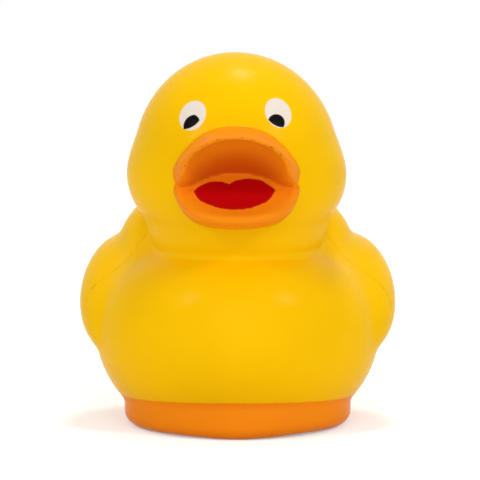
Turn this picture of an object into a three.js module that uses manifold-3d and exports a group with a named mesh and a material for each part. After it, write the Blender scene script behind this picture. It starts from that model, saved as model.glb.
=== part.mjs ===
// A moulded toy duck that stands on a low oval base, in millimetres.
// It faces -Y, +Z is up, and the origin is the middle of its flat underside.
// The whole toy is one moulding: rounded forms joined into one solid, with the open bill cut in.

import * as THREE from 'three';
import { mergeVertices } from 'three/addons/utils/BufferGeometryUtils.js';
import Module from 'manifold-3d';

const wasm = await Module();
wasm.setup();

// Base: an oval foot with a rounded lower edge
const BASE_WIDTH = 48.6;
const BASE_DEPTH = 46;
const BASE_HEIGHT = 10;
const BASE_ROUNDING = 3;

// Body: an egg that narrows, thins and lifts towards the tail
const BODY_WIDTH = 61.2;
const BODY_CROWN = 21.8;
const BODY_BELLY = 25;
const BODY_BREAST = 30.5;
const BODY_TAIL = 40;
const BREAST_FULLNESS = 0.11;
const BODY_SETBACK = 3;
const BODY_RISE = 10.2;
const TAIL_START = 3;
const TAIL_LIFT = 21;
const TAIL_NARROWING = 0.45;
const TAIL_THINNING = 0.55;

// Shoulders: the fuller lobes that carry the wings up to the nape on each side
const SHOULDER_WIDTH = 28.4;
const SHOULDER_FRONT = 16;
const SHOULDER_REAR = 19;
const SHOULDER_HEIGHT = 30.4;
const SHOULDER_SPREAD = 11.9;
const SHOULDER_SETBACK = 9;
const SHOULDER_RISE = 14.1;
const SHOULDER_SLOPE = 8;

// Nape: fills the hollow between the shoulders behind the neck
const NAPE_WIDTH = 22;
const NAPE_FRONT = 14;
const NAPE_REAR = 17;
const NAPE_HEIGHT = 21;
const NAPE_SETBACK = 11;
const NAPE_RISE = 13.6;

// Wings: one lobe on each flank, tipped up and out towards the tail
const WING_THICKNESS = 22.2;
const WING_FRONT = 20.5;
const WING_REAR = 20;
const WING_HEIGHT = 20.2;
const WING_TAPER = 0.35;
const WING_PITCH = 29;
const WING_ROLL = 14.5;
const WING_INSET = 7.65;
const WING_SETBACK = 7;
const WING_RISE = 7;

// Head and its fuller cheeks
const HEAD_WIDTH = 43.4;
const HEAD_DEPTH = 44;
const HEAD_HEIGHT = 45.6;
const HEAD_FORWARD = 8;
const HEAD_SINK = 7.5;
const CHEEK_SWELL = 1.6;
const CHEEK_HEIGHT = 34;
const CHEEK_DROP = 3;

// Neck: the stout stem between head and body
const NECK_WIDTH = 37.4;
const NECK_FRONT = 17.8;
const NECK_REAR = 16;
const NECK_CROWN = 14;
const NECK_FOOT = 10;
const NECK_SETBACK = 2;
const NECK_DROP = 15.3;

// Bill: two lips that meet at the corners of the mouth
const BILL_REACH = 10;
const BILL_INSET = 4;
const CORNER_DROP = 3;
const UPPER_LIP_WIDTH = 26.2;
const UPPER_LIP_RISE = 9.4;
const UPPER_LIP_DROOP = 6.8;
const UPPER_LIP_CROWN = 2.5;
const LOWER_LIP_WIDTH = 26.6;
const LOWER_LIP_DROP = 5.4;
const LOWER_LIP_LIFT = 4;
const LOWER_LIP_KEEL = 4.2;
const LOWER_LIP_SETBACK = 1.8;

// Mouth: the room between the lips, where three rounded cutters overlap
const MOUTH_WIDTH = 22;
const MOUTH_HEIGHT = 46;
const MOUTH_DEPTH = 60;
const ROOF_WIDTH = 29;
const ROOF_DEPTH = 39;
const ROOF_HEIGHT = 27.8;
const ROOF_DROP = 3.6;
const FLOOR_WIDTH = 52;
const FLOOR_DEPTH = 36;
const FLOOR_HEIGHT = 29.4;
const FLOOR_RISE = 8.5;
const ROOF_FORWARD = 2;

// How finely each form is faceted
const LARGE = [48, 28];
const MEDIUM = [32, 20];
const BASE_SIDES = 60;
const ROUNDING_STEPS = 5;

const YELLOW = '#fac302';

// Heights and places that follow from the sizes above
const bodyLevel = BASE_HEIGHT + BODY_RISE;
const bodyTop = bodyLevel + BODY_CROWN;
const headLevel = bodyTop + HEAD_HEIGHT / 2 - HEAD_SINK;
const headPlace = BODY_SETBACK - HEAD_FORWARD;
const billRoot = headPlace - HEAD_DEPTH / 2 + BILL_INSET;
const billTip = billRoot - BILL_INSET - BILL_REACH;
const cornerLevel = headLevel - CORNER_DROP;

// Move every point of a form by a rule
function reshape(form, rule) {
  const spots = form.attributes.position;
  const point = new THREE.Vector3();
  for (let i = 0; i < spots.count; i += 1) {
    point.fromBufferAttribute(spots, i);
    rule(point);
    spots.setXYZ(i, point.x, point.y, point.z);
  }
  return form;
}

// An egg about its own middle, with its own reach to the front, rear, top and bottom
function egg([around, along], { side, front, rear = front, up, down = up }) {
  const form = new THREE.SphereGeometry(1, around, along);
  return reshape(form, (point) => {
    point.x *= side;
    point.y *= point.y < 0 ? front : rear;
    point.z *= point.z > 0 ? up : down;
  });
}

// A closed three.js form as a solid that can be joined and cut
function solid(form) {
  form.deleteAttribute('normal');
  form.deleteAttribute('uv');
  const merged = mergeVertices(form);
  return new wasm.Manifold(new wasm.Mesh({
    numProp: 3,
    vertProperties: Float32Array.from(merged.attributes.position.array),
    triVerts: Uint32Array.from(merged.index.array),
  }));
}

// A solid as a three.js geometry again
function geometry(shape) {
  const mesh = shape.getMesh();
  const form = new THREE.BufferGeometry();
  form.setAttribute('position', new THREE.BufferAttribute(mesh.vertProperties, 3));
  form.setIndex(new THREE.BufferAttribute(mesh.triVerts, 1));
  return form;
}

// The oval foot: a round profile with a quarter-round lower edge, squeezed to the base's depth
function base() {
  const radius = BASE_WIDTH / 2;
  const profile = [new THREE.Vector2(0, 0)];
  for (let step = 0; step <= ROUNDING_STEPS; step += 1) {
    const turn = (Math.PI / 2) * (step / ROUNDING_STEPS);
    const out = radius - BASE_ROUNDING * (1 - Math.sin(turn));
    profile.push(new THREE.Vector2(out, BASE_ROUNDING * (1 - Math.cos(turn))));
  }
  profile.push(new THREE.Vector2(radius, BASE_HEIGHT), new THREE.Vector2(0, BASE_HEIGHT));
  const form = new THREE.LatheGeometry(profile, BASE_SIDES);
  form.rotateX(Math.PI / 2);
  form.scale(1, BASE_DEPTH / BASE_WIDTH, 1);
  return solid(form);
}

// The egg-shaped body with its full breast and raised tail, cut off inside the base
function body() {
  const form = egg(LARGE, {
    side: BODY_WIDTH / 2,
    front: BODY_BREAST,
    rear: BODY_TAIL,
    up: BODY_CROWN,
    down: BODY_BELLY,
  });
  reshape(form, (point) => {
    const ahead = Math.min(point.y / BODY_BREAST, 0);
    const above = Math.max(point.z / BODY_CROWN, 0);
    point.multiplyScalar(1 + 4 * BREAST_FULLNESS * (ahead * above) ** 2);
    const share = (Math.max(point.y - TAIL_START, 0) / (BODY_TAIL - TAIL_START)) ** 2;
    point.x *= 1 - TAIL_NARROWING * share;
    point.z *= 1 - TAIL_THINNING * share;
    point.z += TAIL_LIFT * share;
  });
  form.translate(0, BODY_SETBACK, bodyLevel);
  return solid(form).trimByPlane([0, 0, 1], BASE_HEIGHT / 4);
}

// The nape, between the shoulders
function nape() {
  const form = egg(MEDIUM, {
    side: NAPE_WIDTH / 2,
    front: NAPE_FRONT,
    rear: NAPE_REAR,
    up: NAPE_HEIGHT / 2,
  });
  form.translate(0, BODY_SETBACK + NAPE_SETBACK, bodyLevel + NAPE_RISE);
  return solid(form);
}

// The neck, which carries the head on the body
function neck() {
  const form = egg(MEDIUM, {
    side: NECK_WIDTH / 2,
    front: NECK_FRONT,
    rear: NECK_REAR,
    up: NECK_CROWN,
    down: NECK_FOOT,
  });
  form.translate(0, headPlace + NECK_SETBACK, headLevel - NECK_DROP);
  return solid(form);
}

// One shoulder lobe on the side given by 1 or -1
function shoulder(side) {
  const form = egg(MEDIUM, {
    side: SHOULDER_WIDTH / 2,
    front: SHOULDER_FRONT,
    rear: SHOULDER_REAR,
    up: SHOULDER_HEIGHT / 2,
  });
  form.rotateX(THREE.MathUtils.degToRad(-SHOULDER_SLOPE));
  form.translate(
    side * SHOULDER_SPREAD,
    BODY_SETBACK + SHOULDER_SETBACK,
    bodyLevel + SHOULDER_RISE,
  );
  return solid(form);
}

// One wing lobe on the side given by 1 or -1
function wing(side) {
  const form = egg(MEDIUM, {
    side: WING_THICKNESS / 2,
    front: WING_FRONT,
    rear: WING_REAR,
    up: WING_HEIGHT / 2,
  });
  reshape(form, (point) => {
    const share = Math.max(point.y, 0) / WING_REAR;
    point.z *= 1 - WING_TAPER * share * share;
  });
  form.rotateX(THREE.MathUtils.degToRad(WING_PITCH));
  form.rotateY(THREE.MathUtils.degToRad(-WING_ROLL * side));
  form.translate(
    side * (BODY_WIDTH / 2 - WING_INSET),
    BODY_SETBACK + WING_SETBACK,
    bodyLevel + WING_RISE,
  );
  return solid(form);
}

// The head, with the cheeks as a lower and wider egg inside it
function head() {
  const skull = egg(LARGE, { side: HEAD_WIDTH / 2, front: HEAD_DEPTH / 2, up: HEAD_HEIGHT / 2 });
  skull.translate(0, headPlace, headLevel);
  const cheeks = egg(LARGE, {
    side: HEAD_WIDTH / 2 + CHEEK_SWELL,
    front: HEAD_DEPTH / 2,
    up: CHEEK_HEIGHT / 2,
  });
  cheeks.translate(0, headPlace, headLevel - CHEEK_DROP);
  return solid(skull).add(solid(cheeks));
}

// The upper lip is a shallow crown whose edge droops to the corners of the mouth
function upperLip() {
  const half = UPPER_LIP_WIDTH / 2;
  const form = egg(MEDIUM, {
    side: half,
    front: billRoot - billTip,
    up: UPPER_LIP_CROWN,
    down: UPPER_LIP_RISE + LOWER_LIP_DROP / 2,
  });
  reshape(form, (point) => {
    point.z -= UPPER_LIP_DROOP * Math.abs(point.x / half) ** 2.5;
  });
  form.translate(0, billRoot, cornerLevel + UPPER_LIP_RISE);
  return solid(form);
}

// The lower lip is a shallow keel whose edge lifts to the corners of the mouth
function lowerLip() {
  const half = LOWER_LIP_WIDTH / 2;
  const form = egg(MEDIUM, {
    side: half,
    front: billRoot - billTip - LOWER_LIP_SETBACK,
    up: UPPER_LIP_RISE - LOWER_LIP_DROP / 2,
    down: LOWER_LIP_KEEL,
  });
  reshape(form, (point) => {
    point.z += LOWER_LIP_LIFT * Math.abs(point.x / half) ** 6;
  });
  form.translate(0, billRoot, cornerLevel - LOWER_LIP_DROP);
  return solid(form);
}

// The open mouth: only what lies in all three cutters is taken away
function mouth() {
  const roof = egg(MEDIUM, { side: ROOF_WIDTH / 2, front: ROOF_DEPTH / 2, up: ROOF_HEIGHT / 2 });
  roof.translate(0, billTip - ROOF_FORWARD, cornerLevel - ROOF_DROP);
  const floor = egg(MEDIUM, { side: FLOOR_WIDTH / 2, front: FLOOR_DEPTH / 2, up: FLOOR_HEIGHT / 2 });
  floor.translate(0, billTip, cornerLevel + FLOOR_RISE);
  const sides = egg(MEDIUM, { side: MOUTH_WIDTH / 2, front: MOUTH_DEPTH / 2, up: MOUTH_HEIGHT / 2 });
  sides.translate(0, billTip, cornerLevel);
  return solid(roof).intersect(solid(floor)).intersect(solid(sides));
}

const moulding = base()
  .add(body())
  .add(nape())
  .add(neck())
  .add(shoulder(1))
  .add(shoulder(-1))
  .add(wing(1))
  .add(wing(-1))
  .add(head())
  .add(upperLip())
  .add(lowerLip())
  .subtract(mouth());

const duck = new THREE.Mesh(
  geometry(moulding),
  new THREE.MeshStandardMaterial({ color: YELLOW, roughness: 0.5, metalness: 0 }),
);
duck.name = 'duck';

const group = new THREE.Group();
group.add(duck);

export default group;
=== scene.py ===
"""A soft moulded toy duck on its oval foot, with its paint and its studio, made in Blender.

The duck faces -Y, +Z is up, and the origin is the middle of its flat underside.
"""

import functools
import math

import bpy
import numpy as np
from bpy.props import FloatProperty, FloatVectorProperty, PointerProperty
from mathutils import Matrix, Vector


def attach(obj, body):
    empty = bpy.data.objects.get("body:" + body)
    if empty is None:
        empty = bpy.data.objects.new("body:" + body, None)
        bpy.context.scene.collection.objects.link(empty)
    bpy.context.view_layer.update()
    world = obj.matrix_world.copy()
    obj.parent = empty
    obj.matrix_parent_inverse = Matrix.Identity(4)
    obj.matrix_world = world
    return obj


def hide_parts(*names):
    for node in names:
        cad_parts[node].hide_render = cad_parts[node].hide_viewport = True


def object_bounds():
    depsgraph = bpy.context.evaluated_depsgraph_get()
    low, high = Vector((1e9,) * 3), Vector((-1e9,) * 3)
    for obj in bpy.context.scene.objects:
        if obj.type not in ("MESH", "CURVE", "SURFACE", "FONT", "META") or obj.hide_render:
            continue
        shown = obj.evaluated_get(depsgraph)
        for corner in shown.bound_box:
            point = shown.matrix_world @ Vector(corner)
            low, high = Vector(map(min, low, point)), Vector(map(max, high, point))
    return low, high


bl_info = {
    "name": "Toy duck",
    "version": (1, 0, 0),
    "blender": (4, 5, 0),
    "location": "3D Viewport > Sidebar > Toy duck",
    "description": "Models a soft moulded toy duck with its paint, and the studio it stands in",
    "category": "Add Mesh",
}

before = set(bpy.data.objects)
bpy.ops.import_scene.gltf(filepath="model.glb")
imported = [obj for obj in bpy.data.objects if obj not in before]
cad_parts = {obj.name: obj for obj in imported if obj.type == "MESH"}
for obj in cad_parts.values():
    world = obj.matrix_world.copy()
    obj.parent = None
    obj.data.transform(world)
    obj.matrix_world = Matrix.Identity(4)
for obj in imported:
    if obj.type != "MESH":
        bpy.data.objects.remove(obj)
CAD_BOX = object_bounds()

MM = 0.001
TINY = 1e-9


def linear(code):
    """The linear colour, with alpha, of an sRGB hex code such as #f6bf02."""
    parts = [int(code[start:start + 2], 16) / 255 for start in (1, 3, 5)]
    parts = [part / 12.92 if part <= 0.04045 else ((part + 0.055) / 1.055) ** 2.4 for part in parts]
    return parts + [1.0]


def length(name, description, size):
    """A size in metres whose default is given in millimetres."""
    return FloatProperty(name=name, description=description, default=size * MM, unit="LENGTH", precision=5)


def angle(name, description, degrees):
    """An angle whose default is given in degrees."""
    return FloatProperty(name=name, description=description, default=math.radians(degrees), unit="ROTATION")


def share(name, description, value):
    """A plain share between 0 and 1."""
    return FloatProperty(name=name, description=description, default=value, min=0, max=1, subtype="FACTOR")


def watts(name, description, value):
    """The power of a lamp."""
    return FloatProperty(name=name, description=description, default=value, unit="POWER")


def colour(name, description, code):
    """A colour whose default is an sRGB hex code."""
    return FloatVectorProperty(
        name=name, description=description, default=linear(code), size=4, subtype="COLOR", min=0, max=1
    )


# Sizes and colours


class DuckBaseSizes(bpy.types.PropertyGroup):
    width: length("Width", "Width of the oval foot", 48.6)
    depth: length("Depth", "Depth of the oval foot", 46.2)
    height: length("Height", "Height of the foot inside the body", 10)
    rounding: length("Rounding", "Radius of the foot's lower edge", 3)
    lift: length("Lift", "How far the foot's edge lifts off the floor between its treads", 0.45)
    fillet: length("Fillet", "Fillet between foot and body", 0.5)


class DuckBodySizes(bpy.types.PropertyGroup):
    width: length("Width", "Width of the body's egg", 61.2)
    crown: length("Crown", "Reach of the egg above its widest level", 21.8)
    belly: length("Belly", "Reach of the egg below its widest level", 25)
    breast: length("Breast", "Reach of the egg to the front", 30.5)
    tail: length("Tail", "Reach of the egg to the tip of the tail", 40)
    fullness: share("Fullness", "How much fuller than an egg the breast is", 0.11)
    setback: length("Setback", "How far the egg stands behind the middle", 3)
    rise: length("Rise", "Height of the egg's widest level above the foot", 10.2)
    tail_start: length("Tail start", "Where the tail begins to lift, behind the egg's middle", 3)
    tail_lift: length("Tail lift", "How far the tip of the tail is lifted", 21)
    tail_narrowing: share("Tail narrowing", "How much narrower the tail gets", 0.45)
    tail_thinning: share("Tail thinning", "How much thinner the tail gets", 0.55)


class DuckNapeSizes(bpy.types.PropertyGroup):
    width: length("Width", "Width of the nape between the shoulders", 22)
    front: length("Front", "Reach of the nape to the front", 14)
    rear: length("Rear", "Reach of the nape to the rear", 17)
    height: length("Height", "Height of the nape", 21)
    setback: length("Setback", "Distance of the nape behind the body's middle", 11)
    rise: length("Rise", "Height of the nape above the body's widest level", 13.6)


class DuckShoulderSizes(bpy.types.PropertyGroup):
    width: length("Width", "Width of one shoulder lobe", 28.4)
    front: length("Front", "Reach of the lobe to the front", 16)
    rear: length("Rear", "Reach of the lobe to the rear", 19)
    height: length("Height", "Height of the lobe", 30.4)
    spread: length("Spread", "Distance of the lobe from the middle", 11.9)
    setback: length("Setback", "Distance of the lobe behind the body's middle", 9)
    rise: length("Rise", "Height of the lobe above the body's widest level", 14.1)
    slope: angle("Slope", "How far the lobe falls towards the tail", 8)
    aside: length("Aside", "How far both lobes stand to the duck's right, as moulded", 0.4)
    nape_fillet: length("Nape fillet", "Fillet between the two lobes and the nape", 4)
    body_fillet: length("Body fillet", "Fillet between the lobes and the body", 5)


class DuckWingSizes(bpy.types.PropertyGroup):
    thickness: length("Thickness", "Thickness of the wing", 22.2)
    front: length("Front", "Reach of the wing to the front", 20.5)
    rear: length("Rear", "Reach of the wing to the rear", 20)
    height: length("Height", "Height of the wing", 20.2)
    taper: share("Taper", "How much lower the wing gets at its tip", 0.35)
    pitch: angle("Pitch", "How far the wing's tip points up", 29)
    roll: angle("Roll", "How far the wing leans out from the body", 14.5)
    inset: length("Inset", "How far the wing's middle stands inside the body's side", 7.65)
    setback: length("Setback", "Distance of the wing behind the body's middle", 7)
    rise: length("Rise", "Height of the wing above the body's widest level", 7)
    front_fillet: length("Front fillet", "Fillet between the wing's front and the breast", 7)
    fillet: length("Fillet", "Fillet between the rest of the wing's top and the body", 2.6)
    lower_fillet: length("Lower fillet", "Fillet in the fold below the wing", 1)


class DuckHeadSizes(bpy.types.PropertyGroup):
    width: length("Width", "Width of the head above the cheeks", 43.4)
    depth: length("Depth", "Depth of the head", 44)
    height: length("Height", "Height of the head", 45.6)
    forward: length("Forward", "How far the head stands in front of the body's middle", 8)
    sink: length("Sink", "How far the head sinks into the body", 7.5)
    cheek_swell: length("Cheek swell", "How far each cheek stands out from the head", 1.6)
    cheek_height: length("Cheek height", "Height of the cheeks", 34)
    cheek_drop: length("Cheek drop", "How far the cheeks sit below the middle of the head", 3)
    cheek_fillet: length("Cheek fillet", "Fillet between head and cheeks", 1.4)
    neck_fillet: length("Neck fillet", "Fillet between head and neck", 3)
    lean: angle("Lean", "How far the head leans to the duck's right, as moulded", 0.74)


class DuckNeckSizes(bpy.types.PropertyGroup):
    width: length("Width", "Width of the stout neck", 37.4)
    front: length("Front", "Reach of the neck to the front", 17.8)
    rear: length("Rear", "Reach of the neck to the rear", 16)
    crown: length("Crown", "Reach of the neck above its widest level", 14)
    foot: length("Foot", "Reach of the neck below its widest level", 10)
    setback: length("Setback", "How far the neck stands behind the head's middle", 2)
    drop: length("Drop", "How far the neck sits below the head's middle", 15.3)
    fillet: length("Fillet", "Fillet between neck and body", 1.2)


class DuckBillSizes(bpy.types.PropertyGroup):
    reach: length("Reach", "How far the bill stands out from the head", 10)
    inset: length("Inset", "How deep the bill is rooted in the head", 4)
    corner_drop: length("Corner drop", "How far the corners of the mouth are below the head's middle", 3)
    upper_width: length("Upper width", "Width of the upper lip", 26.2)
    upper_rise: length("Upper rise", "Height of the upper lip's edge above the corners", 9.4)
    upper_droop: length("Upper droop", "How far the upper lip droops to its corners", 6.8)
    upper_crown: length("Upper crown", "Thickness of the upper lip above its edge", 2.5)
    lower_width: length("Lower width", "Width of the lower lip", 26.1)
    lower_drop: length("Lower drop", "Depth of the lower lip's edge below the corners", 5.4)
    lower_lift: length("Lower lift", "How far the lower lip lifts to its corners", 4)
    lower_keel: length("Lower keel", "Thickness of the lower lip below its edge", 4.2)
    lower_setback: length("Lower setback", "How far the lower lip stays behind the upper one", 1.8)
    upper_rounding: length("Upper rounding", "Rounding of the upper lip's rim", 0.8)
    lower_rounding: length("Lower rounding", "Rounding of the thick lower lip's rim", 3.2)


class DuckMouthSizes(bpy.types.PropertyGroup):
    width: length("Width", "Width of the tall egg that ends the mouth at its corners", 22)
    height: length("Height", "Height of that egg", 46)
    depth: length("Depth", "Depth of that egg", 60)
    roof_width: length("Roof width", "Width of the egg that hollows the roof of the mouth", 29)
    roof_depth: length("Roof depth", "Depth of that egg", 39)
    roof_height: length("Roof height", "Height of that egg", 27.8)
    roof_drop: length("Roof drop", "How far that egg sits below the corners of the mouth", 3.6)
    roof_forward: length("Roof forward", "How far that egg stands in front of the bill", 2)
    floor_width: length("Floor width", "Width of the egg that hollows the floor of the mouth", 52)
    floor_depth: length("Floor depth", "Depth of that egg", 36)
    floor_height: length("Floor height", "Height of that egg", 29.4)
    floor_rise: length("Floor rise", "How far that egg sits above the corners of the mouth", 8.5)


class DuckPaint(bpy.types.PropertyGroup):
    skin: colour("Skin", "Yellow of the moulded skin", "#f6bf02")
    spray: colour("Spray", "Orange sprayed on the bill and the foot", "#f28a12")
    # Painted shade: a darker orange for the back of the mouth's roof, standing in for the shade in its deep
    # crease
    painted_shade_orange: colour("Painted shade orange", "Deeper orange at the back of the mouth's roof", "#d0500a")
    mouth: colour("Mouth", "Red printed in the mouth", "#b9060c")
    eye: colour("Eye", "White printed for the eyes", "#e6dacd")
    pupil: colour("Pupil", "Near black printed for the pupils", "#120d0f")
    grime: colour("Grime", "Tone of the dirt in the parting line and on worn edges", "#7a4408")
    foot_line: length("Foot line", "Height up to which the foot is sprayed in front", 8.3)
    foot_sag: length("Foot sag", "How much lower that line is at the foot's sides", 1.5)
    eye_width: length("Eye width", "Width of the printed eye", 5.2)
    eye_height: length("Eye height", "Height of the printed eye", 6.5)
    print_tilt: angle("Print tilt", "How far down the pad printer's stroke runs", 7)


class DuckStage(bpy.types.PropertyGroup):
    camera_tilt: angle("Camera tilt", "How far down the camera looks", 7)
    camera_distance: length("Camera distance", "Distance of the camera from the duck", 700)
    view_width: length("View width", "Width of the picture at the duck", 102.67)
    left_lamp: watts("Left lamp", "Power of the front lamp on the picture's left", 1.25)
    right_lamp: watts("Right lamp", "Power of the front lamp on the picture's right", 1.55)
    fill_lamp: watts("Fill lamp", "Power of the wide lamp low in front", 3.0)
    top_lamp: watts("Top lamp", "Power of the lamp overhead", 2.1)
    room_light: share("Room light", "Strength of the light from all round", 0.5)


class DuckSettings(bpy.types.PropertyGroup):
    base: PointerProperty(type=DuckBaseSizes, name="Foot", description="Sizes of the foot")
    body: PointerProperty(type=DuckBodySizes, name="Body", description="Sizes of the body")
    nape: PointerProperty(type=DuckNapeSizes, name="Nape", description="Sizes of the nape")
    shoulder: PointerProperty(type=DuckShoulderSizes, name="Shoulders", description="Sizes of both lobes")
    wing: PointerProperty(type=DuckWingSizes, name="Wings", description="Sizes of the wings")
    head: PointerProperty(type=DuckHeadSizes, name="Head", description="Sizes of the head")
    neck: PointerProperty(type=DuckNeckSizes, name="Neck", description="Sizes of the neck")
    bill: PointerProperty(type=DuckBillSizes, name="Bill", description="Sizes of the bill")
    mouth: PointerProperty(type=DuckMouthSizes, name="Mouth", description="Sizes of the open mouth")
    paint: PointerProperty(type=DuckPaint, name="Paint", description="Colours of the paint")
    stage: PointerProperty(type=DuckStage, name="Stage", description="Camera and light")


# Forms, each as a distance in metres that is negative inside

# Small measures of the forms. A pair says where a soft ramp begins and where it is full.
TREADS = 4  # places where the foot touches the floor
TREAD_SHIFT = 0.5  # makes the treads a little unequal, in radians
TREAD_RAMP = (0.6, 0.95)  # shares of the way from the foot's middle to its side
TREAD_LEAN = 0.4  # how much more the edge lifts on the duck's left
TAIL_END = 1.1  # the tail's bend goes on a little past its tip, so the tip stays smooth
TAIL_SQUEEZE = 0.5  # evens out the distance where the tail gets thin
LEAN_START = 4 * MM  # how far below the top of the body's egg the lean begins
LIP_END = 1.2  # the lips' bends stop this far out, as a share of the half width
UPPER_BEND = 2.5  # the higher, the more of the upper lip's droop is near its corners
LOWER_BEND = 6  # the same for the lower lip's lift
ROOF_FILLET = 1.5 * MM  # between the mouth's roof and its sides
FLOOR_FILLET = 0.4 * MM  # between its roof and its floor
WING_FRONT = (-4 * MM, 6 * MM)  # reach to the front where the wing's front fillet takes over
WING_TOP = (24 * MM, 40 * MM)  # height where the fillets above the wing take over
LOWER_LIP = (-3 * MM, 1 * MM)  # drop below the corners where the lower lip's rounding takes over
UNDERSIDE = 0.8 * MM  # where the body is cut off inside the foot
GROOVE_DEPTH = 0.12 * MM
GROOVE_REACH = 0.16 * MM
SWELL_DEPTH = 0.05 * MM
SWELL_RAMP = (8 * MM, 16 * MM)  # height where the skin's unevenness sets in, so the foot stays true


def joined(first, second, fillet):
    """Two forms joined, with a fillet where they meet."""
    overlap = np.maximum(fillet - np.abs(first - second), 0) / fillet
    return np.minimum(first, second) - overlap * overlap * fillet / 4


def cut(form, cutter, rounding):
    """A form with another taken out of it, and its rim rounded."""
    return -joined(-form, cutter, rounding)


def egg(x, y, z, side, front, rear, up, down, fullness=0):
    """An egg about the origin with its own reach to each side, fuller between its front and its top."""
    long = np.where(y < 0, front, rear)
    high = np.where(z > 0, up, down)
    inside = np.sqrt((x / side) ** 2 + (y / long) ** 2 + (z / high) ** 2) + TINY
    if fullness:
        # The product is at most a half, so four times its square is at most one
        breast = np.minimum(y / long, 0) * np.maximum(z / high, 0) / inside**2
        inside = inside / (1 + 4 * fullness * breast**2)
    steepness = np.sqrt((x / side**2) ** 2 + (y / long**2) ** 2 + (z / high**2) ** 2) + TINY
    return inside * (inside - 1) / steepness


def turned(first, second, turn):
    """Two coordinates turned about the third."""
    along, aside = math.cos(turn), math.sin(turn)
    return first * along + second * aside, second * along - first * aside


def smooth_step(value, low, high):
    """0 below low, 1 above high, and a soft ramp between them."""
    ramp = np.clip((value - low) / (high - low), 0, 1)
    return ramp * ramp * (3 - 2 * ramp)


def levels(duck):
    """The heights and places that follow from the sizes."""
    body = duck.base.height + duck.body.rise
    head = body + duck.body.crown + duck.head.height / 2 - duck.head.sink
    head_place = duck.body.setback - duck.head.forward
    root = head_place - duck.head.depth / 2 + duck.bill.inset
    tip = root - duck.bill.inset - duck.bill.reach
    return body, head, head_place, root, tip, head - duck.bill.corner_drop


def leaning(duck, x, z):
    """Places across the head, which leans a little from the neck up."""
    above = np.maximum(z - levels(duck)[0] - duck.body.crown + LEAN_START, 0)
    return x + math.tan(duck.head.lean) * above


def base_form(duck, x, y, z):
    """The oval foot, whose rounded edge lifts a little off the floor between its treads."""
    size = duck.base
    turn = np.arctan2(x, -y)
    between = 0.5 - 0.5 * np.cos(TREADS * turn + TREAD_SHIFT * np.sin(2 * turn))
    out = np.sqrt((2 * x / size.width) ** 2 + (2 * y / size.depth) ** 2)
    lift = size.lift * between * (1 + TREAD_LEAN * np.clip(2 * x / size.width, -1, 1))
    level = z - lift * smooth_step(out, *TREAD_RAMP) * smooth_step(-z, -size.height, 0)
    side = (out - 1) * size.depth / 2 + size.rounding
    rise = np.abs(level - size.height / 2) - size.height / 2 + size.rounding
    corner = np.hypot(np.maximum(side, 0), np.maximum(rise, 0))
    return np.minimum(np.maximum(side, rise), 0) + corner - size.rounding


def body_form(duck, x, y, z):
    """The egg-shaped body with its full breast and lifted tail, and the nape and shoulders on it."""
    size = duck.body
    body_level = levels(duck)[0]
    along = y - size.setback
    back = np.clip((along - size.tail_start) / (size.tail - size.tail_start), 0, TAIL_END) ** 2
    least = np.minimum(back, 1)
    across = x / (1 - size.tail_narrowing * least)
    above = (z - body_level - size.tail_lift * back) / (1 - size.tail_thinning * least)
    reach = (size.breast, size.tail, size.crown, size.belly)
    body = egg(across, along, above, size.width / 2, *reach, size.fullness)
    body = body * (1 - TAIL_SQUEEZE * least)
    size = duck.nape
    along = y - duck.body.setback - size.setback
    half = size.height / 2
    nape = egg(x, along, z - body_level - size.rise, size.width / 2, size.front, size.rear, half, half)
    lobes = [shoulder_form(duck, side * (x + duck.shoulder.aside), y, z) for side in (1, -1)]
    shoulders = joined(nape, np.minimum(lobes[0], lobes[1]), duck.shoulder.nape_fillet)
    return joined(body, shoulders, duck.shoulder.body_fillet)


def shoulder_form(duck, x, y, z):
    """The shoulder lobe on the +X side."""
    size = duck.shoulder
    along = y - duck.body.setback - size.setback
    above = z - levels(duck)[0] - size.rise
    along, above = turned(along, above, -size.slope)
    half = size.height / 2
    return egg(x - size.spread, along, above, size.width / 2, size.front, size.rear, half, half)


def wing_form(duck, x, y, z):
    """Both wings, tipped up and out towards the tail."""
    size = duck.wing
    across = np.abs(x) - duck.body.width / 2 + size.inset
    along = y - duck.body.setback - size.setback
    above = z - levels(duck)[0] - size.rise
    above, across = turned(above, across, -size.roll)
    along, above = turned(along, above, size.pitch)
    back = np.clip(along / size.rear, 0, 1)
    half = size.height / 2 * (1 - size.taper * back * back)
    return egg(across, along, above, size.thickness / 2, size.front, size.rear, half, half)


def head_form(duck, x, y, z):
    """The head and its fuller cheeks."""
    size = duck.head
    _, level, place, _, _, _ = levels(duck)
    long = size.depth / 2
    skull = egg(x, y - place, z - level, size.width / 2, long, long, size.height / 2, size.height / 2)
    low = z - level + size.cheek_drop
    wide = size.width / 2 + size.cheek_swell
    cheeks = egg(x, y - place, low, wide, long, long, size.cheek_height / 2, size.cheek_height / 2)
    return joined(skull, cheeks, size.cheek_fillet)


def neck_form(duck, x, y, z):
    """The stout neck between head and body."""
    size = duck.neck
    _, level, place, _, _, _ = levels(duck)
    along = y - place - size.setback
    reach = (size.front, size.rear, size.crown, size.foot)
    return egg(x, along, z - level + size.drop, size.width / 2, *reach)


def lip_forms(duck, x, y, z):
    """The upper and the lower lip before the mouth is cut."""
    size = duck.bill
    _, _, _, root, tip, corner = levels(duck)
    along = y - root
    half = size.upper_width / 2
    droop = size.upper_droop * np.minimum(np.abs(x) / half, LIP_END) ** UPPER_BEND
    above = z - corner - size.upper_rise + droop
    down = size.upper_rise + size.lower_drop / 2
    upper = egg(x, along, above, half, root - tip, root - tip, size.upper_crown, down)
    half = size.lower_width / 2
    lift = size.lower_lift * np.minimum(np.abs(x) / half, LIP_END) ** LOWER_BEND
    above = z - corner + size.lower_drop - lift
    long = root - tip - size.lower_setback
    up = size.upper_rise - size.lower_drop / 2
    lower = egg(x, along, above, half, long, long, up, size.lower_keel)
    return upper, lower


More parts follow.
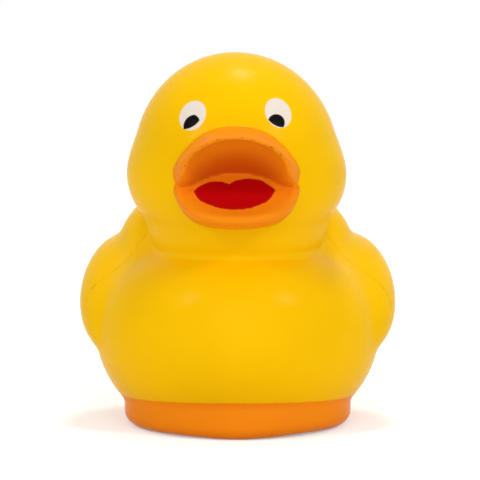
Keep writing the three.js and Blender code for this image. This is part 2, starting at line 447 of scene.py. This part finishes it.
def mouth_form(duck, x, y, z):
    """The room between the lips: what lies in all of three eggs."""
    size = duck.mouth
    _, _, _, _, tip, corner = levels(duck)
    along = y - tip
    above = z - corner
    deep = size.roof_depth / 2
    high = size.roof_height / 2
    ahead = along + size.roof_forward
    roof = egg(x, ahead, above + size.roof_drop, size.roof_width / 2, deep, deep, high, high)
    deep = size.floor_depth / 2
    high = size.floor_height / 2
    floor = egg(x, along, above - size.floor_rise, size.floor_width / 2, deep, deep, high, high)
    deep = size.depth / 2
    high = size.height / 2
    sides = egg(x, along, above, size.width / 2, deep, deep, high, high)
    return -joined(joined(-roof, -sides, ROOF_FILLET), -floor, FLOOR_FILLET)


def duck_form(duck, x, y, z):
    """The whole moulding."""
    body = body_form(duck, x, y, z)
    wing = duck.wing
    fillet = wing.fillet + (wing.front_fillet - wing.fillet) * smooth_step(-y, *WING_FRONT)
    fillet = wing.lower_fillet + (fillet - wing.lower_fillet) * smooth_step(z, *WING_TOP)
    whole = joined(body, wing_form(duck, x, y, z), fillet)
    x = leaning(duck, x, z)
    head = joined(head_form(duck, x, y, z), neck_form(duck, x, y, z), duck.head.neck_fillet)
    whole = joined(whole, head, duck.neck.fillet)
    whole = np.maximum(whole, UNDERSIDE - z)
    upper, lower = lip_forms(duck, x, y, z)
    whole = np.minimum(whole, np.minimum(upper, lower))
    corner = levels(duck)[5]
    lower_lip = smooth_step(corner - z, *LOWER_LIP)
    bill = duck.bill
    rounding = bill.upper_rounding + (bill.lower_rounding - bill.upper_rounding) * lower_lip
    whole = cut(whole, mouth_form(duck, x, y, z), rounding)
    whole = joined(whole, base_form(duck, x, y, z), duck.base.fillet)
    # The mould halves leave a fine groove, and a soft moulding is never quite even
    groove = GROOVE_DEPTH * np.exp(-((y / GROOVE_REACH) ** 2))
    swell = np.sin(x / (5.1 * MM) + 1.3) * np.sin(y / (6.3 * MM) + 0.4) * np.sin(z / (5.7 * MM) + 2.1)
    return whole + groove + SWELL_DEPTH * (swell + 1) * smooth_step(z, *SWELL_RAMP)


# Mesh

# Grid spacings in millimetres: coarse all over, fine round the bill, finest at the parting line
COARSE, FINE, FINEST = 0.8, 0.5, 0.12
MARGIN = 2  # room in millimetres between the duck and the end of the grid
BILL_SIDE = 14
BILL_BACK = -16
BILL_LOW, BILL_TOP = 43, 68
PARTING = 0.6
SLOPE_STEP = 0.02 * MM
LEAST_SLOPE = 1e-6
FURTHEST_MOVE = 0.6 * MM


def grid_lines(*stretches):
    """Grid lines along one axis, from stretches in millimetres: where each ends, and its spacing."""
    lines = [stretches[0]]
    for end, spacing in stretches[1:]:
        steps = max(round((end - lines[-1]) / spacing), 1)
        lines.extend(np.linspace(lines[-1], end, steps + 1)[1:])
    return np.array(lines) * MM


def wrapped(form, lines):
    """A closed skin of four-sided faces round a form, with one vertex in each cell that it passes."""
    depth = form(lines[0][:, None, None], lines[1][None, :, None], lines[2][None, None, :])
    inside = depth < 0
    sizes = [len(line) - 1 for line in lines]
    corners = [(i, j, k) for i in (0, 1) for j in (0, 1) for k in (0, 1)]
    filled = np.zeros(sizes, np.int8)
    for i, j, k in corners:
        filled += inside[i:i + sizes[0], j:j + sizes[1], k:k + sizes[2]]
    cells = np.argwhere((filled > 0) & (filled < 8))
    number = np.full(sizes, -1)
    number[tuple(cells.T)] = np.arange(len(cells))
    total = np.zeros((len(cells), 3))
    count = np.zeros((len(cells), 1))
    for corner in corners:
        for axis in [axis for axis in range(3) if not corner[axis]]:
            near = cells + corner
            far = near + np.eye(3, dtype=int)[axis]
            start = depth[tuple(near.T)]
            end = depth[tuple(far.T)]
            crossed = (start < 0) != (end < 0)
            part = np.where(crossed, start / np.where(crossed, start - end, 1), 0)
            place = np.stack([lines[n][near[:, n]] for n in range(3)], 1)
            place[:, axis] += part * (lines[axis][far[:, axis]] - lines[axis][near[:, axis]])
            total += place * crossed[:, None]
            count += crossed[:, None]
    faces = []
    for axis in range(3):
        second, third = (axis + 1) % 3, (axis + 2) % 3
        window = [slice(1, -1)] * 3
        window[axis] = slice(0, -1)
        near = inside[tuple(window)]
        window[axis] = slice(1, None)
        far = inside[tuple(window)]
        places = np.argwhere(near != far) + 1
        places[:, axis] -= 1
        ring = []
        for back_second, back_third in ((1, 1), (0, 1), (0, 0), (1, 0)):
            cell = places.copy()
            cell[:, second] -= back_second
            cell[:, third] -= back_third
            ring.append(number[tuple(cell.T)])
        quads = np.stack(ring, 1)
        flipped = ~near[near != far]
        quads[flipped] = quads[flipped][:, ::-1]
        faces.append(quads)
    return total / count, np.concatenate(faces)


def slope_of(form, spots):
    """The direction in which a form's distance grows fastest, at each spot."""
    slopes = []
    for axis in np.eye(3) * SLOPE_STEP:
        ahead = form(*(spots + axis).T)
        behind = form(*(spots - axis).T)
        slopes.append((ahead - behind) / (2 * SLOPE_STEP))
    return np.stack(slopes, 1)


def settled(form, spots, times):
    """Spots moved on to the surface of a form."""
    for _ in range(times):
        slope = slope_of(form, spots)
        squared = np.maximum((slope**2).sum(1), LEAST_SLOPE)
        move = np.clip(form(*spots.T) / squared, -FURTHEST_MOVE, FURTHEST_MOVE)
        spots = spots - slope * move[:, None]
    return spots


def evened(form, spots, faces, times):
    """Spots drawn half way to the middle of their neighbours, and put back on the surface."""
    edges = np.concatenate([faces[:, [n, (n + 1) % 4]] for n in range(4)])
    count = np.bincount(edges[:, 0], minlength=len(spots))[:, None]
    for _ in range(times):
        sums = [np.bincount(edges[:, 0], spots[edges[:, 1], n], len(spots)) for n in range(3)]
        spots = settled(form, spots / 2 + np.stack(sums, 1) / count / 2, 1)
    return spots


def stored(mesh, name, values):
    """Keep one number for each vertex under a name that the material reads."""
    mesh.attributes.new(name, "FLOAT", "POINT").data.foreach_set("value", values.astype(np.float32))


# Paint edges, stored on the mesh in millimetres, and the share of painted shade on the mouth's roof

SPRAY_REACH = 1.2 * MM  # what lies this near to the cut mouth is sprayed
SPRAY_OUTSIDE = 1.5 * MM  # as long as it isn't further than this outside the lips
SCUFF_LOW = 3 * MM  # the upper lip's rim is scuffed only this far above the corners
# Painted shade on the mouth's roof: darker where the roof looks down, lies on the mouth's surface and is
# near the back
ROOF_SLOPE = (-0.3, 0.3)  # from a wall that looks a little up to one that looks a little down
ROOF_SKIN = (-1.2 * MM, -0.3 * MM)  # from just off the mouth's surface to right on it
ROOF_BACK = (-28.5 * MM, -20 * MM)  # the painted shade sets in along the roof


def store_paint_edges(duck, form, mesh, spots):
    """Keep where the foot, the bill and its scuffed rim are, and how much painted shade the back of the
    mouth's roof gets.
    """
    x, y, z = spots.T
    x = leaning(duck, x, z)
    sag = duck.paint.foot_sag * np.minimum((2 * x / duck.base.width) ** 2, 1)
    stored(mesh, "foot_edge", (z - (duck.paint.foot_line - sag)) / MM)
    upper, lower = lip_forms(duck, x, y, z)
    lips = np.minimum(upper, lower)
    mouth = mouth_form(duck, x, y, z)
    in_mouth = np.maximum(np.abs(mouth) - SPRAY_REACH, lips - SPRAY_OUTSIDE)
    stored(mesh, "bill_edge", np.minimum(lips - head_form(duck, x, y, z), in_mouth) / MM)
    below = np.maximum(levels(duck)[5] + SCUFF_LOW - z, 0)
    stored(mesh, "rim_edge", (np.maximum(np.abs(upper), np.abs(mouth)) + below) / MM)
    # Painted shade: the roof of the mouth, where it looks down and lies near the back, is drawn darker as
    # if in shade
    slope = slope_of(form, spots)
    roof = smooth_step(-slope[:, 2] / np.linalg.norm(slope, axis=1), *ROOF_SLOPE)
    roof = roof * smooth_step(-np.abs(mouth), *ROOF_SKIN)
    stored(mesh, "roof_depth", roof * smooth_step(y, *ROOF_BACK))


# Materials

# Printed shapes on the printer's plane, in millimetres: the middle and the radius of each disc.
# The mouth lies in both discs of its edge and in either bow, and a pupil lies in all discs of its own.
MOUTH_EDGE = ((-0.72, 53.88, 9.6), (-0.6, 59.45, 14.0))
MOUTH_BOWS = ((-4.3, 45.05, 6.35), (2.25, 44.5, 7.45))
LEFT_PUPIL = ((-8.67, 62.6, 2.5), (-9.62, 63.35, 1.9), (-11.37, 66.4, 4.35))
RIGHT_PUPIL = ((7.98, 63.45, 1.75), (9.33, 66.15, 3.68))
# The middle of each printed eye, and how far it leans
LEFT_EYE = (-9.27, 64.92, math.radians(-29))
RIGHT_EYE = (8.38, 65.45, math.radians(27))
PRINT_BACK = 12.0  # the prints stop this far in front of the parting line, in millimetres
# How soft the edges of paint and dirt are, in millimetres
SPRAY_SOFTNESS = 0.2
MOUTH_SOFTNESS = 0.12
PRINT_SOFTNESS = 0.1
LINE_SOFTNESS = 0.16
LINE_DIRT = 0.35  # how much of the moulding's colour the dirt in the parting line hides
SCUFF_REACH = 0.5  # how far scuffs spread from the rim, in millimetres
RELIEF_DEPTH = 0.05 * MM


def add_node(tree, kind, inputs=None, **settings):
    """Add a node with its settings, and fill or link its inputs."""
    node = tree.nodes.new(kind)
    for name, value in settings.items():
        setattr(node, name, value)
    for name, value in (inputs or {}).items():
        if isinstance(value, bpy.types.NodeSocket):
            tree.links.new(value, node.inputs[name])
        else:
            node.inputs[name].default_value = value
    return node


def overlap_of(tree, distances, either=False):
    """The distance to what lies in all of some shapes, or in any of them."""
    operation = "MINIMUM" if either else "MAXIMUM"
    result = distances[0]
    for distance in distances[1:]:
        inputs = {0: result, 1: distance}
        result = add_node(tree, "ShaderNodeMath", inputs, operation=operation).outputs[0]
    return result


def round_stencils(tree, spot, discs):
    """The distance in millimetres to each round stencil, given by its middle and its radius."""
    distances = []
    for across, up, radius in discs:
        inputs = {0: spot, 1: (across, up, 0)}
        away = add_node(tree, "ShaderNodeVectorMath", inputs, operation="DISTANCE")
        inputs = {0: away.outputs["Value"], 1: radius}
        edge = add_node(tree, "ShaderNodeMath", inputs, operation="SUBTRACT")
        distances.append(edge.outputs[0])
    return distances


def eye_stencil(tree, spot, across, up, lean, paint):
    """The distance in millimetres to a printed oval eye."""
    sizes = (paint.eye_width / 2 / MM, paint.eye_height / 2 / MM, 1)
    inputs = {"Vector": spot, "Location": (across, up, 0), "Rotation": (0, 0, lean), "Scale": sizes}
    oval = add_node(tree, "ShaderNodeMapping", inputs, vector_type="TEXTURE")
    away = add_node(tree, "ShaderNodeVectorMath", {0: oval.outputs[0]}, operation="LENGTH")
    inputs = {0: away.outputs["Value"], 1: 1.0}
    edge = add_node(tree, "ShaderNodeMath", inputs, operation="SUBTRACT")
    inputs = {0: edge.outputs[0], 1: sizes[0]}
    return add_node(tree, "ShaderNodeMath", inputs, operation="MULTIPLY").outputs[0]


def covered(tree, distance, wobble, softness):
    """How much paint covers each spot: 1 well inside an edge in millimetres, 0 well outside it."""
    edge = add_node(tree, "ShaderNodeMath", {0: distance, 1: wobble}, operation="ADD").outputs[0]
    inputs = {"Value": edge, "From Min": softness, "From Max": -softness}
    return add_node(tree, "ShaderNodeMapRange", inputs, interpolation_type="SMOOTHSTEP").outputs[0]


def coated(tree, below, above, cover):
    """One colour laid over another where the paint covers it."""
    inputs = {"Factor": cover, "A": below, "B": above}
    return add_node(tree, "ShaderNodeMix", inputs, data_type="RGBA").outputs["Result"]


def painted_pvc(duck):
    """Soft PVC, moulded in two halves and painted.

    The moulded skin is satin with a faint orange peel, so highlights are wide and soft, and a little light
    goes in and comes out nearby. The bill and the foot are sprayed, so their edges are a little soft. The
    eyes and the mouth are pad printed, so theirs are crisp.
    """
    paint = duck.paint
    material = bpy.data.materials.new("soft_pvc_moulded_and_painted")
    material.use_nodes = True
    tree = material.node_tree
    tree.nodes.clear()
    place = add_node(tree, "ShaderNodeTexCoord").outputs["Object"]
    inputs = {0: place, "Scale": 1 / MM}
    spot = add_node(tree, "ShaderNodeVectorMath", inputs, operation="SCALE").outputs[0]
    parts = add_node(tree, "ShaderNodeSeparateXYZ", {0: spot})

    # Patterns by their size in millimetres: cloudy tone, ragged paint edges, orange peel and fine grain
    noises = []
    for size, detail in ((14, 3.0), (1.2, 3.0), (0.9, 2.0), (0.3, 2.0)):
        inputs = {"Vector": spot, "Scale": 1 / size, "Detail": detail}
        noises.append(add_node(tree, "ShaderNodeTexNoise", inputs).outputs[0])
    cloud, ragged, peel, grain = noises

    # How far paint edges stray from their line, in millimetres
    stray = 0.12
    inputs = {"Value": ragged, "From Min": 0.25, "From Max": 0.75, "To Min": -stray, "To Max": stray}
    crisp = add_node(tree, "ShaderNodeMapRange", inputs).outputs[0]
    rough = add_node(tree, "ShaderNodeMath", {0: crisp, 1: 2.0}, operation="MULTIPLY").outputs[0]

    # The pad printer's stroke runs back and a little down, so the prints are drawn on a tilted plane
    tilt = paint.print_tilt
    stroke = {0: spot, 1: (0, math.sin(tilt), math.cos(tilt))}
    height = add_node(tree, "ShaderNodeVectorMath", stroke, operation="DOT_PRODUCT").outputs["Value"]
    pad = add_node(tree, "ShaderNodeCombineXYZ", {0: parts.outputs[0], 1: height}).outputs[0]
    inputs = {0: parts.outputs[1], 1: PRINT_BACK}
    front = add_node(tree, "ShaderNodeMath", inputs, operation="ADD").outputs[0]

    # Sprayed orange, where the mesh says that the foot and the bill are, and the share of painted shade on
    # the mouth's roof
    names = ("foot_edge", "bill_edge", "rim_edge", "roof_depth")
    kept = [add_node(tree, "ShaderNodeAttribute", attribute_name=name).outputs["Fac"] for name in names]
    foot, bill, rim, deep = kept
    sprayed = covered(tree, overlap_of(tree, [bill, foot], either=True), crisp, SPRAY_SOFTNESS)

    # Printed red mouth, white eyes and dark pupils
    bows = overlap_of(tree, round_stencils(tree, pad, MOUTH_BOWS), either=True)
    mouth = overlap_of(tree, round_stencils(tree, pad, MOUTH_EDGE) + [bows, front])
    red = covered(tree, mouth, crisp, MOUTH_SOFTNESS)
    eyes = [eye_stencil(tree, pad, *eye, paint) for eye in (LEFT_EYE, RIGHT_EYE)]
    eyes = overlap_of(tree, [overlap_of(tree, eyes, either=True), front])
    white = covered(tree, eyes, 0.0, PRINT_SOFTNESS)
    pupils = [overlap_of(tree, round_stencils(tree, pad, discs)) for discs in (LEFT_PUPIL, RIGHT_PUPIL)]
    pupils = overlap_of(tree, [overlap_of(tree, pupils, either=True), front])
    dark = covered(tree, pupils, 0.0, PRINT_SOFTNESS)

    # Dirt settles in the parting line, and the upper lip's rim is scuffed
    line = add_node(tree, "ShaderNodeMath", {0: parts.outputs[1]}, operation="ABSOLUTE").outputs[0]
    line = covered(tree, line, rough, LINE_SOFTNESS)
    line = add_node(tree, "ShaderNodeMath", {0: line, 1: LINE_DIRT}, operation="MULTIPLY").outputs[0]
    inputs = {"Value": ragged, "From Min": 0.54, "From Max": 0.6}
    specks = add_node(tree, "ShaderNodeMapRange", inputs).outputs[0]
    near = covered(tree, rim, -SCUFF_REACH, PRINT_SOFTNESS)
    scuffs = add_node(tree, "ShaderNodeMath", {0: specks, 1: near}, operation="MULTIPLY").outputs[0]

    # Colour, a little uneven in cloudy patches
    tone = add_node(tree, "ShaderNodeValToRGB", {"Fac": cloud})
    for element, position, grey in zip(tone.color_ramp.elements, (0.3, 0.7), (0.955, 1.0)):
        element.position = position
        element.color = (grey, grey, grey, 1)
    # Painted shade: by the share deep, the orange turns darker at the back of the mouth's roof, standing in
    # for the shade of its deep crease
    spray_and_painted_shade = coated(tree, list(paint.spray), list(paint.painted_shade_orange), deep)
    look = coated(tree, list(paint.skin), spray_and_painted_shade, sprayed)
    look = coated(tree, look, list(paint.mouth), red)
    look = coated(tree, look, list(paint.eye), white)
    look = coated(tree, look, list(paint.pupil), dark)
    look = coated(tree, look, list(paint.grime), line)
    look = coated(tree, look, list(paint.grime), scuffs)
    inputs = {"Factor": 1.0, "A": look, "B": tone.outputs[0]}
    settings = {"data_type": "RGBA", "blend_type": "MULTIPLY"}
    look = add_node(tree, "ShaderNodeMix", inputs, **settings).outputs["Result"]

    # Gloss: satin skin in cloudy patches, even paint, and slightly glossier pupils
    inputs = {"Value": cloud, "From Min": 0.3, "From Max": 0.7, "To Min": 0.24, "To Max": 0.3}
    gloss = add_node(tree, "ShaderNodeMapRange", inputs).outputs[0]
    inputs = {0: sprayed, 1: red}
    painted = add_node(tree, "ShaderNodeMath", inputs, operation="MAXIMUM").outputs[0]
    for cover, roughness in ((painted, 0.26), (dark, 0.22)):
        inputs = {"Factor": cover, "A": gloss, "B": roughness}
        gloss = add_node(tree, "ShaderNodeMix", inputs, data_type="FLOAT").outputs[0]

    # Relief: orange peel about a millimetre across, with a finer grain on it. The real grain is finer
    # still, and is drawn this coarse so that it shows.
    inputs = {0: grain, 1: 0.3, 2: peel}
    relief = add_node(tree, "ShaderNodeMath", inputs, operation="MULTIPLY_ADD").outputs[0]
    inputs = {"Strength": 0.05, "Distance": RELIEF_DEPTH, "Height": relief}
    bump = add_node(tree, "ShaderNodeBump", inputs).outputs[0]
    inputs = {
        "Base Color": look,
        "Roughness": gloss,
        "Normal": bump,
        "IOR": 1.5,
        # Low, because the real skin has only a faint shine at its edges
        "Specular IOR Level": 0.028,
        "Subsurface Weight": 0.08,
        "Subsurface Radius": (1.0, 0.5, 0.1),
        "Subsurface Scale": 1.2 * MM,
    }
    shader = add_node(tree, "ShaderNodeBsdfPrincipled", inputs)
    add_node(tree, "ShaderNodeOutputMaterial", {0: shader.outputs[0]})
    return material


def painted_floor():
    """Matt white emulsion paint, rolled: it shows no gloss, and it keeps the duck's soft shadow.

    The camera and mirrors see it a little lighter than it lights the duck, so it is as white as the
    photograph's.
    """
    material = bpy.data.materials.new("white_emulsion_rolled")
    material.use_nodes = True
    tree = material.node_tree
    tree.nodes.clear()
    matt = add_node(tree, "ShaderNodeBsdfDiffuse", {"Color": linear("#eeeeee"), "Roughness": 0.5})
    seen = seen_rays(tree)
    lift = add_node(tree, "ShaderNodeMath", {0: seen, 1: FLOOR_LIFT}, operation="MULTIPLY").outputs[0]
    glow = add_node(tree, "ShaderNodeEmission", {"Color": (1, 1, 1, 1), "Strength": lift})
    both = add_node(tree, "ShaderNodeAddShader", {0: matt.outputs[0], 1: glow.outputs[0]})
    add_node(tree, "ShaderNodeOutputMaterial", {0: both.outputs[0]})
    return material


def seen_rays(tree):
    """1 for rays that show the background: from the camera, in a reflection or through glass."""
    rays = add_node(tree, "ShaderNodeLightPath").outputs
    seen = rays["Is Camera Ray"]
    for name in ("Is Glossy Ray", "Is Transmission Ray"):
        inputs = {0: seen, 1: rays[name]}
        seen = add_node(tree, "ShaderNodeMath", inputs, operation="MAXIMUM").outputs[0]
    return seen


# Stage

FLOOR_HALF = 0.6  # half the side of the square floor
FLOOR_LIFT = 0.3  # how much lighter than lit the floor is seen
LAMP_AIM = (0, 0, 0.04)  # the middle of the duck
VIEW_AIM = (0.5 * MM, 0, 39.55 * MM)  # what lies in the middle of the picture


# Operators


class OBJECT_OT_toy_duck_moulding(bpy.types.Operator):
    """Make the duck as one moulding with its paint"""

    bl_idname = "object.toy_duck_moulding"
    bl_label = "Duck moulding"

    def execute(self, context):
        duck = context.scene.toy_duck
        form = functools.partial(duck_form, duck)
        low, high = [[number / MM for number in corner] for corner in CAD_BOX]
        low = [number - MARGIN for number in low]
        high = [number + MARGIN for number in high]
        across = ((-BILL_SIDE, COARSE), (BILL_SIDE, FINE), (high[0], COARSE))
        along = ((BILL_BACK, FINE), (-PARTING, COARSE), (PARTING, FINEST), (high[1], COARSE))
        up = ((BILL_LOW, COARSE), (BILL_TOP, FINE), (high[2], COARSE))
        lines = [grid_lines(start, *ends) for start, ends in zip(low, (across, along, up))]
        spots, faces = wrapped(form, lines)
        spots = settled(form, spots, 3)
        spots = evened(form, spots, faces, 3)
        spots = settled(form, spots, 2)
        mesh = bpy.data.meshes.new("duck_moulding")
        mesh.from_pydata(spots.tolist(), [], faces.tolist())
        mesh.validate()
        mesh.shade_smooth()
        store_paint_edges(duck, form, mesh, spots)
        mesh.materials.append(painted_pvc(duck))
        piece = bpy.data.objects.new("duck_moulding", mesh)
        context.collection.objects.link(piece)
        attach(piece, "root")
        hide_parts("duck")
        return {"FINISHED"}


class SCENE_OT_toy_duck_stage(bpy.types.Operator):
    """Set the white floor, the lamps, the light of the room and the camera"""

    bl_idname = "scene.toy_duck_stage"
    bl_label = "Studio stage"

    def execute(self, context):
        stage = context.scene.toy_duck.stage
        self.lay_floor(context)
        self.light_room(context, stage)
        lamps = (
            ("lamp_left", (-0.53, -0.45, 0.45), 0.13, stage.left_lamp),
            ("lamp_right", (0.53, -0.45, 0.45), 0.13, stage.right_lamp),
            ("lamp_fill", (0.0, -0.95, 0.14), 0.8, stage.fill_lamp),
            ("lamp_top", (0.06, 0.22, 0.78), 0.16, stage.top_lamp),
        )
        for name, place, size, power in lamps:
            self.hang_lamp(context, name, place, size, power)
        self.place_camera(context, stage)
        return {"FINISHED"}

    def lay_floor(self, context):
        """A square white floor that counts as stage."""
        mesh = bpy.data.meshes.new("studio_floor")
        half = FLOOR_HALF
        corners = [(-half, -half, 0), (half, -half, 0), (half, half, 0), (-half, half, 0)]
        mesh.from_pydata(corners, [], [(0, 1, 2, 3)])
        mesh.materials.append(painted_floor())
        floor = bpy.data.objects.new("studio_floor", mesh)
        context.collection.objects.link(floor)

    def light_room(self, context, stage):
        """Even white light from all round, and a white background."""
        world = bpy.data.worlds.new("white_room")
        context.scene.world = world
        world.use_nodes = True
        tree = world.node_tree
        tree.nodes.clear()
        inputs = {"Value": seen_rays(tree), "To Min": stage.room_light, "To Max": 1.0}
        strength = add_node(tree, "ShaderNodeMapRange", inputs).outputs[0]
        light = add_node(tree, "ShaderNodeBackground", {"Color": (1, 1, 1, 1), "Strength": strength})
        add_node(tree, "ShaderNodeOutputWorld", {0: light.outputs[0]})

    def hang_lamp(self, context, name, place, size, power):
        """A square lamp that shines at the duck."""
        light = bpy.data.lights.new(name, "AREA")
        light.size = size
        light.energy = power
        lamp = bpy.data.objects.new(name, light)
        lamp.location = place
        aim = Vector(LAMP_AIM) - Vector(place)
        lamp.rotation_euler = aim.to_track_quat("-Z", "Y").to_euler()
        context.collection.objects.link(lamp)

    def place_camera(self, context, stage):
        """The camera that the photograph was taken with, as near as can be told."""
        data = bpy.data.cameras.new("camera")
        data.sensor_width = 36
        data.lens = data.sensor_width * stage.camera_distance / stage.view_width
        data.clip_start = 0.01
        camera = bpy.data.objects.new("camera", data)
        tilt = stage.camera_tilt
        away = Vector((0, -math.cos(tilt), math.sin(tilt)))
        camera.location = Vector(VIEW_AIM) + away * stage.camera_distance
        camera.rotation_euler = (-away).to_track_quat("-Z", "Y").to_euler()
        context.collection.objects.link(camera)
        context.scene.camera = camera
        context.scene.view_settings.view_transform = "Standard"


class VIEW3D_PT_toy_duck(bpy.types.Panel):
    """The duck's steps and settings in the sidebar"""

    bl_label = "Toy duck"
    bl_idname = "VIEW3D_PT_toy_duck"
    bl_space_type = "VIEW_3D"
    bl_region_type = "UI"
    bl_category = "Toy duck"

    def draw(self, context):
        duck = context.scene.toy_duck
        for operator in OPERATORS:
            self.layout.operator(operator.bl_idname)
        for group in duck.bl_rna.properties:
            if group.type == "POINTER" and group.identifier != "rna_type":
                box = self.layout.box()
                box.label(text=group.name)
                settings = getattr(duck, group.identifier)
                for item in settings.bl_rna.properties:
                    if item.identifier not in ("rna_type", "name"):
                        box.prop(settings, item.identifier)


OPERATORS = (OBJECT_OT_toy_duck_moulding, SCENE_OT_toy_duck_stage)
GROUPS = (
    DuckBaseSizes,
    DuckBodySizes,
    DuckNapeSizes,
    DuckShoulderSizes,
    DuckWingSizes,
    DuckHeadSizes,
    DuckNeckSizes,
    DuckBillSizes,
    DuckMouthSizes,
    DuckPaint,
    DuckStage,
    DuckSettings,
)
CLASSES = GROUPS + OPERATORS + (VIEW3D_PT_toy_duck,)


def register():
    for item in CLASSES:
        bpy.utils.register_class(item)
    bpy.types.Scene.toy_duck = PointerProperty(
        type=DuckSettings, name="Toy duck", description="Sizes, paint and stage of the toy duck"
    )


def unregister():
    del bpy.types.Scene.toy_duck
    for item in reversed(CLASSES):
        bpy.utils.unregister_class(item)


def main():
    register()
    bpy.ops.object.toy_duck_moulding()
    bpy.ops.scene.toy_duck_stage()


if __name__ == "__main__":
    main()
